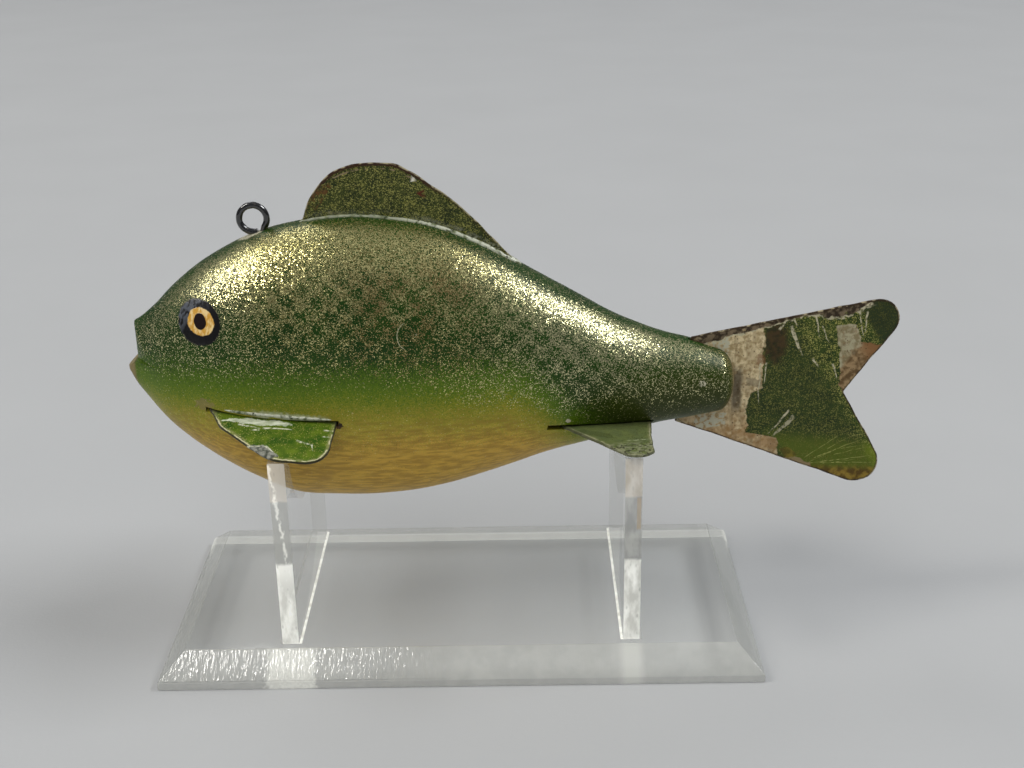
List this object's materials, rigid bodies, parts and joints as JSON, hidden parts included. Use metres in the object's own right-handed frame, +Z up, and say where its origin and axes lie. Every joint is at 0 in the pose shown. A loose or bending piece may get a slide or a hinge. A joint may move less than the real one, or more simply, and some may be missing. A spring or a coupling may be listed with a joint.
{
  "type": "fish decoy",
  "caption": "Carved and painted wooden fish decoy with sheet tin fins, a forked tin tail and a screw eye for its line, resting in the saddles of a clear bevelled stand.",
  "frame": {"origin": "centre of the stand base's underside", "axes": "+X from the head towards the tail, +Y towards the fish's right side, +Z up"},
  "size_m": [0.1468, 0.0572, 0.0935],
  "materials": {
    "painted_wood": "glossy varnish over green paint, gold flakes and an orange belly",
    "painted_tin": "worn green enamel with gold flakes",
    "black_wire": "glossy black",
    "clear_acrylic": "polished clear, with sawn edges"
  },
  "bodies": {
    "root": {"body": "painted_wood", "dorsal_fin": "painted_tin", "tail_fin": "painted_tin", "pectoral_fin_left": "painted_tin", "pectoral_fin_right": "painted_tin", "pelvic_fin_left": "painted_tin", "pelvic_fin_right": "painted_tin", "line_tie": "black_wire", "stand_base": "clear_acrylic", "stand_upright_front": "clear_acrylic", "stand_upright_rear": "clear_acrylic"}
  },
  "joints": []
}
